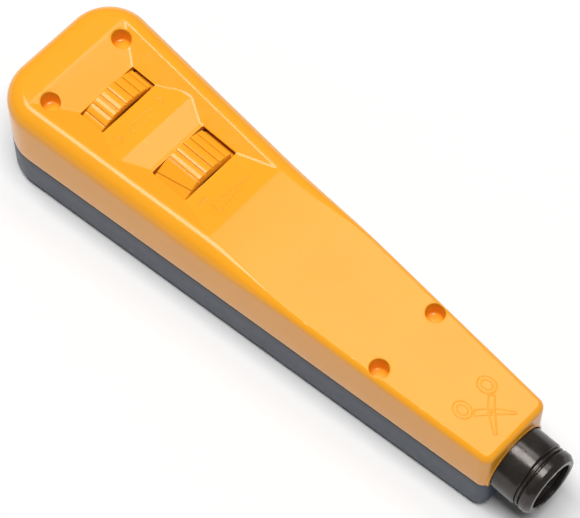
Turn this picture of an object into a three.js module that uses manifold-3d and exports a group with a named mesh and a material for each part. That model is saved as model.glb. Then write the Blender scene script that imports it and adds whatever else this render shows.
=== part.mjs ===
// Punch down tool: a two-shell handle around an automatic impact mechanism, with an empty
// twist-lock blade socket at the nose, a power drum and a release drum on top, and a store for a
// spare blade in the butt. Millimetres. +X runs along the tool to the nose, +Z is up from the
// flat back, and the origin is under the middle of the tool, on the surface it lies on.
import * as THREE from 'three';
import { mergeVertices } from 'three/addons/utils/BufferGeometryUtils.js';
import Module from 'manifold-3d';

const wasm = await Module();
wasm.setup();

// ---- Driving dimensions ----
const BUTT_X = -70.5;
const FACE_X = 60.7;
const TIP_X = 70.5;
const AXIS_Z = 12.2;
const PARTING_Z = 10.7;
const GAP = 0.3;
const PARTING_GAP = GAP / 2;
const SLIDE_GAP = 0.25;

const SIDE_X = -58.9;
const SIDE_HALF_WIDTH = 18.0;
const SIDE_TAPER = THREE.MathUtils.degToRad(4.3);
const BUTT_CORNER = 10;
const FACE_CORNER = 2.2;

const TOP_X = 31.3;
const TOP_Z = 24.3;
const TOP_SLOPE = 0.0335;
const SHOULDER_REAR = 4.2;
const SHOULDER_FRONT = 1.9;
const SHOULDER_BLEND = [-16, 14];
const BACK_EDGE = 1.8;
const WALL = 2.0;
const ROOF = 4.2;
const FLOOR = 1.7;
const CAVITY_END_X = 36;
const OUTSIDE = 40;

// The control recess: [x, half width of its floor], from the butt to the nose. At its ends the
// floor is as wide as the flat top.
const FACET_SLOPE = 0.38;
const RECESS_FLOOR = [
  [-61.6, Infinity], [-53.1, 7.55], [-46.8, 7.55], [-40.9, 10.2],
  [-38.7, 10.45], [-33.6, 7.6], [-23.1, 7.5], [-13.6, Infinity],
];
const POWER_WINDOW = { x0: -32.55, x1: -23.15, y0: -7.5, y1: 7.65 };
const RELEASE_WINDOW = { x0: -53.15, x1: -46.75, y0: -7.45, y1: 7.75 };

// Each bulkhead runs from one x to the next, with a hole of the given radius on the axis.
const BULKHEADS = [
  [-56.6, -55, 7.2],
  [-44.3, -42.8, 0],
  [-35.2, -33.5, 7.4],
  [-18.6, -17, 7.4],
  [17, 18.6, 7.4],
];
const BUSH_CARRIER = { x0: 21.5, x1: 28, tubeHole: 7.4, springHole: 5.2 };

const SCREW_PLACES = [[31.3, 8.42], [31.3, -8.42], [-59, 10.48], [-59, -10.48]];
const DIMPLE_R = 2.07;
const DIMPLE_DEPTH = 4.1;
const BOSS_R = 3.0;
const SCREW_R = 1.2;
const HEAD_R = 2.3;
const HEAD_Z = 1.1;
const HEAD_H = 1.6;

const SCREW_END_Z = 17.8;
const POCKET_FLOOR_Z = 16.2;

const STROKE = 8.5;
const BARREL_R = 7.5;
const SOCKET_R = 5.5;
const SOCKET_FLOOR_X = 50;
const BARREL_REAR_X = 46;
const BARREL_SEGMENTS = 40;
const GROOVE_X = 66.6;
const GROOVE_R = 6.75;
const KEY_SPAN = [-0.5, 1.1];
const KEY_HEIGHT = 1.3;
const ROD_R = 2.6;
const ROD_END_X = 12.7;
const ROD_SEAT_X = 48.6;

const TUBE_R = 6.2;
const TUBE_WALL = 0.9;
const TUBE_X = [-36, 22.9];
const BUSH = { x0: 23.2, x1: 26.2, r: 8.2 };
const HAMMER = { x0: -3, x1: 14, r: 6.0 };
const PLATE = { x0: 10.2, x1: 12.2, half: 3.0, r: 5.9, low: -4.3, lift: 1.2, hole: 2.95 };
const SEAT = { x0: -23.8, x1: -22, r: 6.0, ear: 9.0, earHalf: 1.6 };

const HUB = [7.4, 9.3];
const POWER_DRUM = {
  x0: -32.25, x1: -23.45, r: 14.2, ribs: [42.4, 101], hubFront: -24.4, rise: 2.865, rampTurn: 42,
};
const RELEASE_DRUM = { x0: -52.8, x1: -47.05, r: 14.7, ribs: [39.9, 133] };
const DRUM_SPAN = [38, 142];
const RIB_PITCH = 8.5;
const RIB_TOOTH = [[0, -0.45], [0.8, -0.45], [1.3, -0.1], [4.5, 0], [7.7, -0.1], [8.2, -0.45]];
const STORE = { x0: -70.3, x1: -44.6, r: 5.75, wall: 1.15, floor: 2 };
const LOCK_X = -50.6;
const LOCK_R = 0.9;
const LOCK_SWEEP = 31;
const DETENT_TURN = 20;

const COLOURS = {
  yellow: { color: 0xf2a01e, roughness: 0.42, metalness: 0 },
  grey: { color: 0x535962, roughness: 0.5, metalness: 0 },
  black: { color: 0x1b1817, roughness: 0.36, metalness: 0.35 },
  steel: { color: 0x9a9c9f, roughness: 0.32, metalness: 1 },
  spring: { color: 0x77787a, roughness: 0.35, metalness: 1 },
  white: { color: 0xd8d6cf, roughness: 0.5, metalness: 0 },
};

// ---- Closed meshes and solids ----
const turn = THREE.MathUtils.degToRad;

function solid(geometry) {
  const bare = geometry.clone();
  bare.deleteAttribute('normal');
  bare.deleteAttribute('uv');
  const merged = mergeVertices(bare, 1e-4);
  const at = merged.attributes.position;
  const corners = [];
  for (let i = 0; i < merged.index.count; i += 3) {
    const face = [0, 1, 2].map((k) => merged.index.getX(i + k));
    if (new Set(face).size === 3) corners.push(...face);
  }
  const [a, b, c] = [new THREE.Vector3(), new THREE.Vector3(), new THREE.Vector3()];
  let volume = 0;
  for (let i = 0; i < corners.length; i += 3) {
    a.fromBufferAttribute(at, corners[i]);
    b.fromBufferAttribute(at, corners[i + 1]);
    c.fromBufferAttribute(at, corners[i + 2]);
    volume += a.dot(b.cross(c));
  }
  if (volume < 0) corners.reverse();
  return new wasm.Manifold(new wasm.Mesh({
    numProp: 3,
    vertProperties: new Float32Array(at.array),
    triVerts: new Uint32Array(corners),
  }));
}

function join(first, ...others) {
  return others.reduce((sum, next) => sum.add(next), first);
}

function cut(first, ...others) {
  return others.reduce((rest, next) => rest.subtract(next), first);
}

function box(x0, x1, y0, y1, z0, z1) {
  const geometry = new THREE.BoxGeometry(x1 - x0, y1 - y0, z1 - z0);
  geometry.translate((x0 + x1) / 2, (y0 + y1) / 2, (z0 + z1) / 2);
  return solid(geometry);
}

// A profile of [x, radius] points, turned about the tool's axis.
function turned(profile, segments = 36) {
  const points = profile.map(([x, r]) => new THREE.Vector2(r, x));
  const ends = [points[0], points[points.length - 1]];
  if (ends.some((end) => end.x > 0)) points.push(points[0].clone());
  const geometry = new THREE.LatheGeometry(points, segments);
  geometry.rotateZ(-Math.PI / 2);
  geometry.translate(0, 0, AXIS_Z);
  return solid(geometry);
}

function rod(x0, x1, r, segments = 36) {
  return turned([[x0, 0], [x0, r], [x1, r], [x1, 0]], segments);
}

function ring(x0, x1, inner, outer, segments = 36) {
  return turned([[x0, inner], [x0, outer], [x1, outer], [x1, inner]], segments);
}

// A profile of [radius, z] points, turned about an upright line at (x, y).
function upright(x, y, profile, segments = 18) {
  const points = profile.map(([r, z]) => new THREE.Vector2(r, z));
  const geometry = new THREE.LatheGeometry(points, segments);
  geometry.rotateX(Math.PI / 2);
  geometry.translate(x, y, 0);
  return solid(geometry);
}

function post(x, y, r, z0, z1, segments = 18) {
  return upright(x, y, [[0, z0], [r, z0], [r, z1], [0, z1]], segments);
}

// A flat outline in the cross-section of the tool, [y, z from the axis], extruded along X.
function crossPiece(outline, x0, x1) {
  const shape = new THREE.Shape(outline.map(([y, z]) => new THREE.Vector2(y, z)));
  const geometry = new THREE.ExtrudeGeometry(shape, { depth: x1 - x0, bevelEnabled: false });
  geometry.applyMatrix4(new THREE.Matrix4().makeBasis(
    new THREE.Vector3(0, 1, 0),
    new THREE.Vector3(0, 0, 1),
    new THREE.Vector3(1, 0, 0),
  ));
  geometry.translate(x0, 0, AXIS_Z);
  return solid(geometry);
}

function arc(r, from, to, steps) {
  const angles = Array.from({ length: steps + 1 }, (_, i) => turn(from + (to - from) * i / steps));
  return angles.map((angle) => [r * Math.cos(angle), r * Math.sin(angle)]);
}

function sector(inner, outer, from, to, x0, x1, steps = 16) {
  return crossPiece([...arc(outer, from, to, steps), ...arc(inner, to, from, steps)], x0, x1);
}

// Rings of points, all with the same count, skinned and capped into one body.
function loft(rings) {
  const count = rings[0].length;
  const index = [];
  for (let k = 0; k < rings.length - 1; k += 1) {
    for (let i = 0; i < count; i += 1) {
      const j = (i + 1) % count;
      const [a, b, c, d] = [k * count + i, k * count + j, (k + 1) * count + i, (k + 1) * count + j];
      index.push(a, b, d, a, d, c);
    }
  }
  const cap = (points) => THREE.ShapeUtils.triangulateShape(
    points.map((p) => new THREE.Vector2(p.x, p.y)), []);
  const top = (rings.length - 1) * count;
  for (const [a, b, c] of cap(rings[0])) index.push(a, c, b);
  for (const [a, b, c] of cap(rings.at(-1))) index.push(top + a, top + b, top + c);
  const geometry = new THREE.BufferGeometry();
  geometry.setAttribute('position', new THREE.Float32BufferAttribute(
    rings.flat().flatMap((p) => [p.x, p.y, p.z]), 3));
  geometry.setIndex(index);
  return solid(geometry);
}

class Coil extends THREE.Curve {
  constructor(start, length, radius, turns) {
    super();
    Object.assign(this, { start, length, radius, turns });
  }

  getPoint(t, target = new THREE.Vector3()) {
    const angle = 2 * Math.PI * this.turns * t;
    const [y, z] = [this.radius * Math.cos(angle), this.radius * Math.sin(angle)];
    return target.set(this.start + this.length * t, y, z);
  }
}

// A helical spring along X between its two end faces.
function coilSpring(x0, x1, radius, wire, turns, sides = 5, stepsPerTurn = 11) {
  const curve = new Coil(x0 + wire, x1 - x0 - 2 * wire, radius, turns);
  const points = arc(wire, 0, 360, sides).slice(0, sides);
  const section = new THREE.Shape(points.map(([x, y]) => new THREE.Vector2(x, y)));
  return new THREE.ExtrudeGeometry(section, {
    steps: Math.round(turns * stepsPerTurn),
    extrudePath: curve,
    bevelEnabled: false,
  });
}

// ---- Handle outline ----
const sideNormal = [Math.sin(SIDE_TAPER), Math.cos(SIDE_TAPER)];
const sideReach = sideNormal[0] * SIDE_X + sideNormal[1] * SIDE_HALF_WIDTH;

const topHeight = (x) => TOP_Z + TOP_SLOPE * (TOP_X - x);
const shoulder = (x) => THREE.MathUtils.lerp(
  SHOULDER_REAR, SHOULDER_FRONT, THREE.MathUtils.smoothstep(x, ...SHOULDER_BLEND));
const halfWidth = (x) => (sideReach - sideNormal[0] * x) / sideNormal[1];

function corner(x, radius, from, to, steps) {
  const y = (sideReach - radius - sideNormal[0] * x) / sideNormal[1];
  return arc(radius, from, to, steps).map(([dx, dy]) => (
    { x: x + dx, y: y + dy, nx: dx / radius, ny: dy / radius }));
}

// Points round the handle with their outward normals, from the middle of the front face.
function handleOutline() {
  const sideAngle = 90 - THREE.MathUtils.radToDeg(SIDE_TAPER);
  const front = corner(FACE_X - FACE_CORNER, FACE_CORNER, 0, sideAngle, 3);
  const rear = corner(BUTT_X + BUTT_CORNER, BUTT_CORNER, sideAngle, 180, 8);
  const [from, to] = [front.at(-1), rear[0]];
  const side = Array.from({ length: 9 }, (_, i) => (i + 1) / 10).map((t) => (
    { ...from, x: from.x + (to.x - from.x) * t, y: from.y + (to.y - from.y) * t }));
  const half = [...front, ...side, ...rear];
  const mirrored = half.map((p) => ({ x: p.x, y: -p.y, nx: p.nx, ny: -p.ny })).reverse();
  return [...half, ...mirrored];
}

const OUTLINE = handleOutline();

// The outline moved in by inset(x) and set at height(x).
function level(inset, height) {
  return OUTLINE.map((p) => {
    const x = p.x - p.nx * inset(p.x);
    const y = p.y - p.ny * inset(p.x);
    return new THREE.Vector3(x, y, height(x, p.x));
  });
}

// The rings of a rounded edge: sign 1 rounds a top edge, -1 a bottom one.
function roundedRings(radius, edgeHeight, sign, steps) {
  return Array.from({ length: steps + 1 }, (_, i) => {
    const t = turn(90 * i / steps);
    return level(
      (x) => radius(x) * (1 - Math.cos(t)),
      (x, xOutside) => edgeHeight(x) - sign * radius(xOutside) * (1 - Math.sin(t)));
  });
}

function upperBody() {
  const base = level(() => 0, () => PARTING_Z + PARTING_GAP);
  return loft([base, ...roundedRings(shoulder, topHeight, 1, 5)]);
}

function lowerBody() {
  const base = level(() => 0, () => PARTING_Z - PARTING_GAP);
  return loft([base, ...roundedRings(() => BACK_EDGE, () => 0, -1, 3)]);
}

function cavity(z0, heightAbove) {
  const inset = () => WALL;
  const room = loft([level(inset, () => z0), level(inset, heightAbove)]);
  return room.intersect(box(BUTT_X, CAVITY_END_X, -OUTSIDE, OUTSIDE, -OUTSIDE, OUTSIDE));
}

// ---- Control recess in the top ----
function edgeLine(x) {
  return halfWidth(x) - shoulder(x);
}

function recessSection([x, floorHalf]) {
  const line = edgeLine(x);
  const half = Math.min(floorHalf, line);
  const top = topHeight(x);
  const floor = top - FACET_SLOPE * (line - half);
  const hollow = [[line, top], [half, floor], [-half, floor], [-line, top]];
  return [...hollow, [-line, top + 6], [line, top + 6]].map(([y, z]) => [x, y, z]);
}

// One hollow for both drums: its floor dips at each window, between two facets that slope down
// from the rounded edges.
function controlRecess() {
  const sections = RECESS_FLOOR.map(recessSection);
  const size = sections[0].length;
  const last = (sections.length - 1) * size;
  const index = [];
  for (let k = 1; k < size - 1; k += 1) index.push(0, k, k + 1, last, last + k + 1, last + k);
  for (let start = 0; start < last; start += size) {
    for (let k = 0; k < size; k += 1) {
      const [a, b] = [start + k, start + ((k + 1) % size)];
      index.push(a, a + size, b, b, a + size, b + size);
    }
  }
  const geometry = new THREE.BufferGeometry();
  geometry.setAttribute('position', new THREE.Float32BufferAttribute(sections.flat(2), 3));
  geometry.setIndex(index);
  return solid(geometry);
}

function windowCut({ x0, x1, y0, y1 }) {
  return box(x0, x1, y0, y1, POCKET_FLOOR_Z, OUTSIDE);
}

// ---- Shells ----
function bulkheads(z0, z1) {
  const spans = [...BULKHEADS, [BUSH_CARRIER.x0, BUSH_CARRIER.x1]];
  return join(...spans.map(([x0, x1]) => box(x0, x1, -OUTSIDE, OUTSIDE, z0, z1)));
}

function passages() {
  const holed = BULKHEADS.filter(([, , r]) => r > 0);
  return [
    ...holed.map(([x0, x1, r]) => rod(x0 - 0.5, x1 + 0.5, r)),
    rod(BUSH_CARRIER.x0 - 0.5, BUSH.x0 - GAP, BUSH_CARRIER.tubeHole),
    rod(BUSH.x0 - GAP, BUSH.x1 + GAP, BUSH.r + GAP),
    rod(BUSH.x1, BUSH_CARRIER.x1 + 0.5, BUSH_CARRIER.springHole),
    rod(CAVITY_END_X - 1, FACE_X + 1, BARREL_R + SLIDE_GAP),
    rod(BUTT_X - 1, BUTT_X + 3, STORE.r + STORE.wall + GAP),
  ];
}

function drumPocket(drum, window) {
  const wide = rod(window.x0 - 0.1, window.x1 + 0.1, drum.r + GAP, 60);
  return wide.intersect(box(window.x0 - 1, window.x1 + 1, -OUTSIDE, OUTSIDE, POCKET_FLOOR_Z, OUTSIDE));
}

function faceLip() {
  return ring(FACE_X - 0.5, FACE_X + 0.15, BARREL_R + SLIDE_GAP, BARREL_R + 0.8);
}

function upperShell() {
  const base = PARTING_Z + PARTING_GAP;
  const body = upperBody();
  const room = cavity(0, (x) => topHeight(x) - ROOF);
  const inside = body.intersect(join(
    bulkheads(base, OUTSIDE),
    ...SCREW_PLACES.map(([x, y]) => post(x, y, BOSS_R, base, OUTSIDE)),
  ));
  const lip = faceLip().intersect(box(FACE_X - 1, FACE_X + 1, -9, 9, base, OUTSIDE));
  const holes = SCREW_PLACES.map(([x, y]) => post(x, y, SCREW_R + GAP, 0, SCREW_END_Z + 0.4));
  const dimples = SCREW_PLACES.map(([x, y]) => {
    const bottom = topHeight(x) - (x < 0 ? 0.4 : 0) - DIMPLE_DEPTH;
    return post(x, y, DIMPLE_R, bottom, OUTSIDE);
  });
  return cut(
    join(cut(body, room), inside, lip),
    controlRecess(),
    windowCut(POWER_WINDOW), windowCut(RELEASE_WINDOW),
    drumPocket(POWER_DRUM, POWER_WINDOW), drumPocket(RELEASE_DRUM, RELEASE_WINDOW),
    ...passages(), ...holes, ...dimples,
  );
}

function lowerShell() {
  const body = lowerBody();
  const room = cavity(FLOOR, () => OUTSIDE);
  const inside = body.intersect(join(
    bulkheads(0.5, OUTSIDE),
    ...SCREW_PLACES.map(([x, y]) => post(x, y, BOSS_R, 0.5, OUTSIDE)),
  ));
  const holes = SCREW_PLACES.flatMap(([x, y]) => [
    post(x, y, SCREW_R + GAP, -1, 20),
    post(x, y, HEAD_R + GAP, -1, HEAD_Z + HEAD_H + GAP),
  ]);
  return cut(join(cut(body, room), inside), ...passages(), ...holes);
}

function screw(x, y) {
  const neck = HEAD_Z + HEAD_H;
  const body = upright(x, y, [
    [0, HEAD_Z], [HEAD_R - 0.5, HEAD_Z], [HEAD_R, HEAD_Z + 0.6], [HEAD_R, neck],
    [SCREW_R, neck], [SCREW_R, SCREW_END_Z - 0.8], [0.5, SCREW_END_Z], [0, SCREW_END_Z],
  ]);
  const slot = (a, b) => box(x - a, x + a, y - b, y + b, HEAD_Z - 1, HEAD_Z + 0.9);
  return cut(body, slot(1.3, 0.3), slot(0.3, 1.3));
}

// ---- Impact mechanism ----
function guideTube() {
  const tube = ring(...TUBE_X, TUBE_R, TUBE_R + TUBE_WALL);
  const side = PLATE.half + 0.4;
  const latchSlot = box(PLATE.x0 - STROKE - 0.6, PLATE.x1 + 0.8, -side, side, AXIS_Z + 3, AXIS_Z + 9);
  const up = SEAT.earHalf + GAP;
  const seatSlot = box(SEAT.x0 - 1.4, SEAT.x1 + 1.4, -SEAT.ear, SEAT.ear, AXIS_Z - up, AXIS_Z + up);
  return cut(tube, latchSlot, seatSlot);
}

function guideBush() {
  return ring(BUSH.x0, BUSH.x1, ROD_R + 0.15, BUSH.r);
}

function bladeHolder() {
  return turned([
    [SOCKET_FLOOR_X, 0], [SOCKET_FLOOR_X, SOCKET_R], [69.2, SOCKET_R], [69.2, 6.3],
    [GROOVE_X + 1, 6.3], [GROOVE_X + 1, GROOVE_R], [GROOVE_X, GROOVE_R], [GROOVE_X, 7.05],
    [GROOVE_X - 0.18, 7.35], [GROOVE_X - 0.5, BARREL_R],
    [BARREL_REAR_X + 0.5, BARREL_R], [BARREL_REAR_X, 7.1], [BARREL_REAR_X, ROD_R + GAP],
    [ROD_SEAT_X, ROD_R + GAP], [ROD_SEAT_X, 0],
  ], BARREL_SEGMENTS);
}

function retainingRing() {
  const profile = [[0, 7.0], [0.05, 7.25], [0.25, 7.35], [0.45, 7.25], [0.5, 7.0]];
  return turned(profile.map(([x, r]) => [GROOVE_X + 0.35 + x, r]), BARREL_SEGMENTS);
}

function noseCollar() {
  const bodyRing = turned([
    [67.9, 6.6], [67.85, 7.1], [68.05, 7.35], [68.4, 7.45], [69.15, 7.45], [69.7, 7.32], [70.15, 7.0],
    [70.42, 6.6], [TIP_X, 6.15], [70.42, 5.7], [70.15, SOCKET_R], [69.5, SOCKET_R], [69.5, 6.6],
  ], BARREL_SEGMENTS);
  const keyTop = AXIS_Z + SOCKET_R + 0.35;
  const key = box(69.55, 70.3, KEY_SPAN[0], KEY_SPAN[1], keyTop - KEY_HEIGHT, keyTop);
  return join(bodyRing, key);
}

function plungerRod() {
  const front = ROD_SEAT_X - GAP;
  const rear = ROD_END_X;
  return turned([[rear, 0], [rear, ROD_R - 0.3], [rear + 0.3, ROD_R], [front, ROD_R], [front, 0]], 24);
}

function hammer() {
  const { x0, x1, r } = HAMMER;
  const body = turned([[x0, 0], [x0, r - 0.4], [x0 + 0.4, r], [x1 - 0.4, r], [x1, r - 0.4], [x1, 0]]);
  const bore = rod(2, x1 + 1, ROD_R + GAP, 24);
  const side = PLATE.half + 0.2;
  const slot = box(PLATE.x0 - 0.2, PLATE.x1 + 0.2, -side, side, AXIS_Z - 5.4, AXIS_Z + 9);
  return cut(body, bore, slot);
}

function latchPlate() {
  const { x0, x1, half, r, low, lift, hole } = PLATE;
  const plate = rod(x0, x1, r).intersect(box(x0 - 1, x1 + 1, -half, half, AXIS_Z + low, AXIS_Z + r));
  return cut(plate, rod(x0 - 1, x1 + 1, hole, 24)).translate([0, 0, lift]);
}

function springSeat() {
  const { x0, x1, r, ear, earHalf } = SEAT;
  const ears = box(x0, x1, -ear, ear, AXIS_Z - earHalf, AXIS_Z + earHalf);
  return join(rod(x0, x1, r), ears);
}

// ---- Drums ----
function ribbedRim({ x0, x1, r, ribs }, thickness) {
  const [from, to] = DRUM_SPAN;
  const teeth = [];
  let angle = ribs[0];
  for (; angle < ribs[1]; angle += RIB_PITCH) {
    for (const [offset, rise] of RIB_TOOTH) teeth.push(arc(r + rise, angle + offset, 0, 1)[0]);
  }
  const smooth = Math.max(1, Math.round((to - angle) / 5));
  const outside = [...arc(r - 0.1, from, ribs[0] - 0.5, 2), ...teeth];
  outside.push(...arc(r - 0.1, angle + 0.8, to, smooth), ...arc(r - thickness, to, from, 16));
  return crossPiece(outside, x0, x1);
}

function drumBody(drum) {
  const [from, to] = [DRUM_SPAN[0] + 4, DRUM_SPAN[1] - 4];
  const web = sector(HUB[0] + 0.5, drum.r - 1.5, from, to, drum.x0 + 3, drum.x0 + 4.8);
  return join(ribbedRim(drum, 2.2), web);
}

// The hub's front face is a double helical cam that carries the spring seat's two ears.
function powerDrum() {
  const { x0, hubFront, rise, rampTurn } = POWER_DRUM;
  const steps = 48;
  const face = (degrees) => {
    const local = ((degrees + 90) % 180) - 90;
    const back = Math.sign(local) * rampTurn * (Math.abs(local) - 90) / (90 - rampTurn);
    return hubFront + rise * turn(Math.abs(local) <= rampTurn ? -local : back);
  };
  const rings = Array.from({ length: steps }, (_, i) => {
    const degrees = 360 * i / steps;
    const direction = [Math.cos(turn(degrees)), Math.sin(turn(degrees))];
    const at = (x, r) => [x, r * direction[0], AXIS_Z + r * direction[1]];
    return [at(x0, HUB[0]), at(x0, HUB[1]), at(face(degrees), HUB[1]), at(face(degrees), HUB[0])];
  });
  const index = rings.flatMap((_, i) => [0, 1, 2, 3].flatMap((k) => {
    const [a, b] = [i * 4 + k, i * 4 + (k + 1) % 4];
    const [c, d] = [((i + 1) % steps) * 4 + k, ((i + 1) % steps) * 4 + (k + 1) % 4];
    return [a, b, d, a, d, c];
  }));
  const geometry = new THREE.BufferGeometry();
  geometry.setAttribute('position', new THREE.Float32BufferAttribute(rings.flat(2), 3));
  geometry.setIndex(index);
  return cut(join(solid(geometry), drumBody(POWER_DRUM)), ...detentNotches(-33, -24));
}

// Three grooves along the bottom of a hub, one for each place where the drum clicks.
function detentNotches(x0, x1) {
  return [-DETENT_TURN, 0, DETENT_TURN].map((degrees) => {
    const [[y, z]] = arc(HUB[1] + 0.6, degrees - 90, degrees - 90, 1);
    return crossPiece(arc(1.1, 0, 360, 12).slice(1).map(([dy, dz]) => [y + dy, z + dz]), x0, x1);
  });
}

function releaseDrum() {
  const { x0, x1 } = RELEASE_DRUM;
  const body = join(ring(x0, x1, ...HUB), drumBody(RELEASE_DRUM));
  const pinHole = post(LOCK_X, 0, LOCK_R + GAP, -5, AXIS_Z);
  return cut(body, pinHole, ...detentNotches(LOCK_X + 1.4, -45));
}

function lockPin() {
  return post(LOCK_X, 0, LOCK_R, AXIS_Z - 9, AXIS_Z - 4.9, 20);
}

function bladeStore() {
  const { x0, x1, r, wall, floor } = STORE;
  const cup = turned([[x0, r], [x0, r + wall], [x1, r + wall], [x1, 0], [x1 - floor, 0], [x1 - floor, r]]);
  const [from, to] = [270 - LOCK_SWEEP, 270 + LOCK_SWEEP];
  const slot = sector(r - 1, r + wall + 1, from, to, LOCK_X - 1.2, LOCK_X + 1.2);
  return cut(cup, slot);
}

// A leaf on the floor under a drum's hub, with a round nose that sits in the hub's groove.
function leafSpring(x0, x1) {
  const bottom = FLOOR + GAP - AXIS_Z;
  const top = bottom + 0.4;
  const nose = -HUB[1] + 0.2;
  return crossPiece([
    [-6.5, bottom], [6.5, bottom], [6.5, top], [1.4, top],
    [0.5, nose], [-0.5, nose], [-1.4, top], [-6.5, top],
  ], x0, x1);
}

function latchSpring() {
  const geometry = coilSpring(AXIS_Z - 5.2, AXIS_Z - 3.25, 0.9, 0.16, 2.5, 5, 10);
  geometry.applyMatrix4(new THREE.Matrix4().makeBasis(
    new THREE.Vector3(0, 0, 1),
    new THREE.Vector3(1, 0, 0),
    new THREE.Vector3(0, 1, 0),
  ));
  geometry.translate((PLATE.x0 + PLATE.x1) / 2, 0, 0);
  return geometry;
}

// ---- The assembly ----
const tool = new THREE.Group();

function asGeometry(shape) {
  const mesh = shape.getMesh();
  const geometry = new THREE.BufferGeometry();
  geometry.setAttribute('position', new THREE.BufferAttribute(mesh.vertProperties, 3));
  geometry.setIndex(new THREE.BufferAttribute(mesh.triVerts, 1));
  geometry.computeVertexNormals();
  return geometry;
}

function place(name, shape, look) {
  const geometry = shape.isBufferGeometry ? shape : asGeometry(shape);
  const mesh = new THREE.Mesh(geometry, new THREE.MeshStandardMaterial(COLOURS[look]));
  mesh.name = name;
  tool.add(mesh);
  return mesh;
}

place('upper_shell', upperShell(), 'yellow');
place('lower_shell', lowerShell(), 'grey');
SCREW_PLACES.forEach(([x, y], i) => place(`case_screw_${i + 1}`, screw(x, y), 'steel'));
place('guide_tube', guideTube(), 'steel');
place('guide_bush', guideBush(), 'white');
place('blade_store', bladeStore(), 'black');
place('power_detent_spring', leafSpring(-30, -26), 'spring');
place('release_detent_spring', leafSpring(-48.9, -47.1), 'spring');

place('blade_holder', bladeHolder(), 'black');
place('retaining_ring', retainingRing(), 'black');
place('nose_collar', noseCollar(), 'black');
place('plunger_rod', plungerRod(), 'steel');
const returnSpring = coilSpring(BUSH.x1 + GAP, BARREL_REAR_X - GAP, 4.4, 0.35, 7);
place('return_spring', returnSpring, 'spring').position.z = AXIS_Z;

place('hammer', hammer(), 'steel');
place('latch_plate', latchPlate(), 'steel');
place('latch_spring', latchSpring(), 'spring');
const impactSpring = coilSpring(SEAT.x1 + GAP, HAMMER.x0 - GAP, 4.9, 0.6, 6.5);
place('impact_spring', impactSpring, 'spring').position.z = AXIS_Z;
place('spring_seat', springSeat(), 'steel');

place('power_drum', powerDrum(), 'yellow');
place('release_drum', releaseDrum(), 'yellow');
place('lock_pin', lockPin(), 'steel');

export default tool;
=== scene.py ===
"""Punch down tool: the visual model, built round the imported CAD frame.

Lengths in this file are millimetres until they reach Blender, which takes metres.
+X runs along the tool to the nose, +Z is up from the flat back.
"""
import math

import bmesh
import bpy
import numpy as np
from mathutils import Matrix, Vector
from mathutils.geometry import delaunay_2d_cdt


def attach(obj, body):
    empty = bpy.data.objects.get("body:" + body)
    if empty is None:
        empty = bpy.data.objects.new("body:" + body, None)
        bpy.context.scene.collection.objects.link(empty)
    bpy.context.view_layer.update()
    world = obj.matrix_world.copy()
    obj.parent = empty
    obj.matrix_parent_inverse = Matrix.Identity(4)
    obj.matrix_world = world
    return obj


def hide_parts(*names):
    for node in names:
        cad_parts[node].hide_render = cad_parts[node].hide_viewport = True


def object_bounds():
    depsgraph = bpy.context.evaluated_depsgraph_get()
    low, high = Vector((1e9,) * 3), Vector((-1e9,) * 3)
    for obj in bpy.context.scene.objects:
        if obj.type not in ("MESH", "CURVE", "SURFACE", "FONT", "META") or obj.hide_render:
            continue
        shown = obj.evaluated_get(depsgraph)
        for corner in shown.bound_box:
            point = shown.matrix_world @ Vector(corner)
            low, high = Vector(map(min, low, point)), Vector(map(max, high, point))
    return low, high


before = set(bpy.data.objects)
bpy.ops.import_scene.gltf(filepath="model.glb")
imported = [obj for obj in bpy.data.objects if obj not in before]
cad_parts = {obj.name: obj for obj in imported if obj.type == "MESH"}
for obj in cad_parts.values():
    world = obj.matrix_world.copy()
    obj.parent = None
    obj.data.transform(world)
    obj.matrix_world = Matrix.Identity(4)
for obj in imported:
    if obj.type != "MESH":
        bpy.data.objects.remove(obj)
cad_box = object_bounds()
MM = 0.001

# ---- Dimensions shared with the CAD model ----
BUTT_X = -70.5
FACE_X = 60.7
TIP_X = 70.5
AXIS_Z = 12.2
PARTING_Z = 10.7
PARTING_GAP = 0.15
SIDE_X = -58.9
SIDE_HALF_WIDTH = 18.0
SIDE_TAPER = math.radians(4.3)
BUTT_CORNER = 10.0
FACE_CORNER = 2.2
TOP_X = 31.3
TOP_Z = 24.3
TOP_SLOPE = 0.0335
SHOULDER_REAR = 4.2
SHOULDER_FRONT = 1.9
SHOULDER_BLEND = (-16.0, 14.0)
BACK_EDGE = 1.8
WALL = 2.0
ROOF = 4.2
FLOOR = 1.7
CAVITY_END_X = 36.0
# Each bulkhead runs from x to x, with a bore of the given radius or none.
BULKHEADS = [(-56.6, -55.0, 7.2), (-44.3, -42.8, 0), (-35.2, -33.5, 7.4), (-18.6, -17.0, 7.4),
             (17.0, 18.6, 7.4), (21.5, 28.0, 7.4)]
GUIDE_POCKET = (22.9, 26.5, 8.5)
STORE_R = 7.2
SCREW_PLACES = [(31.3, 8.42), (31.3, -8.42), (-59.0, 10.48), (-59.0, -10.48)]
DIMPLE_R = 2.07
DIMPLE_DEPTH = 4.1
BOSS_R = 3.0
SCREW_HOLE_R = 1.5
SCREW_HOLE_TOP_Z = 18.2
HEAD_POCKET_R = 2.6
HEAD_POCKET_DEPTH = 3.0

# The recess round the drums: half the width of its floor at each x. Its ends are as wide as the flat top.
FACET_SLOPE = 0.38
RECESS_FLOOR = [(-61.6, math.inf), (-53.1, 7.55), (-46.8, 7.55), (-40.9, 10.2),
                (-38.7, 10.45), (-33.6, 7.6), (-23.1, 7.5), (-13.6, math.inf)]
POWER_WINDOW = dict(x0=-32.55, x1=-23.15, y0=-7.5, y1=7.65)
RELEASE_WINDOW = dict(x0=-53.15, x1=-46.75, y0=-7.45, y1=7.75)

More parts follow.
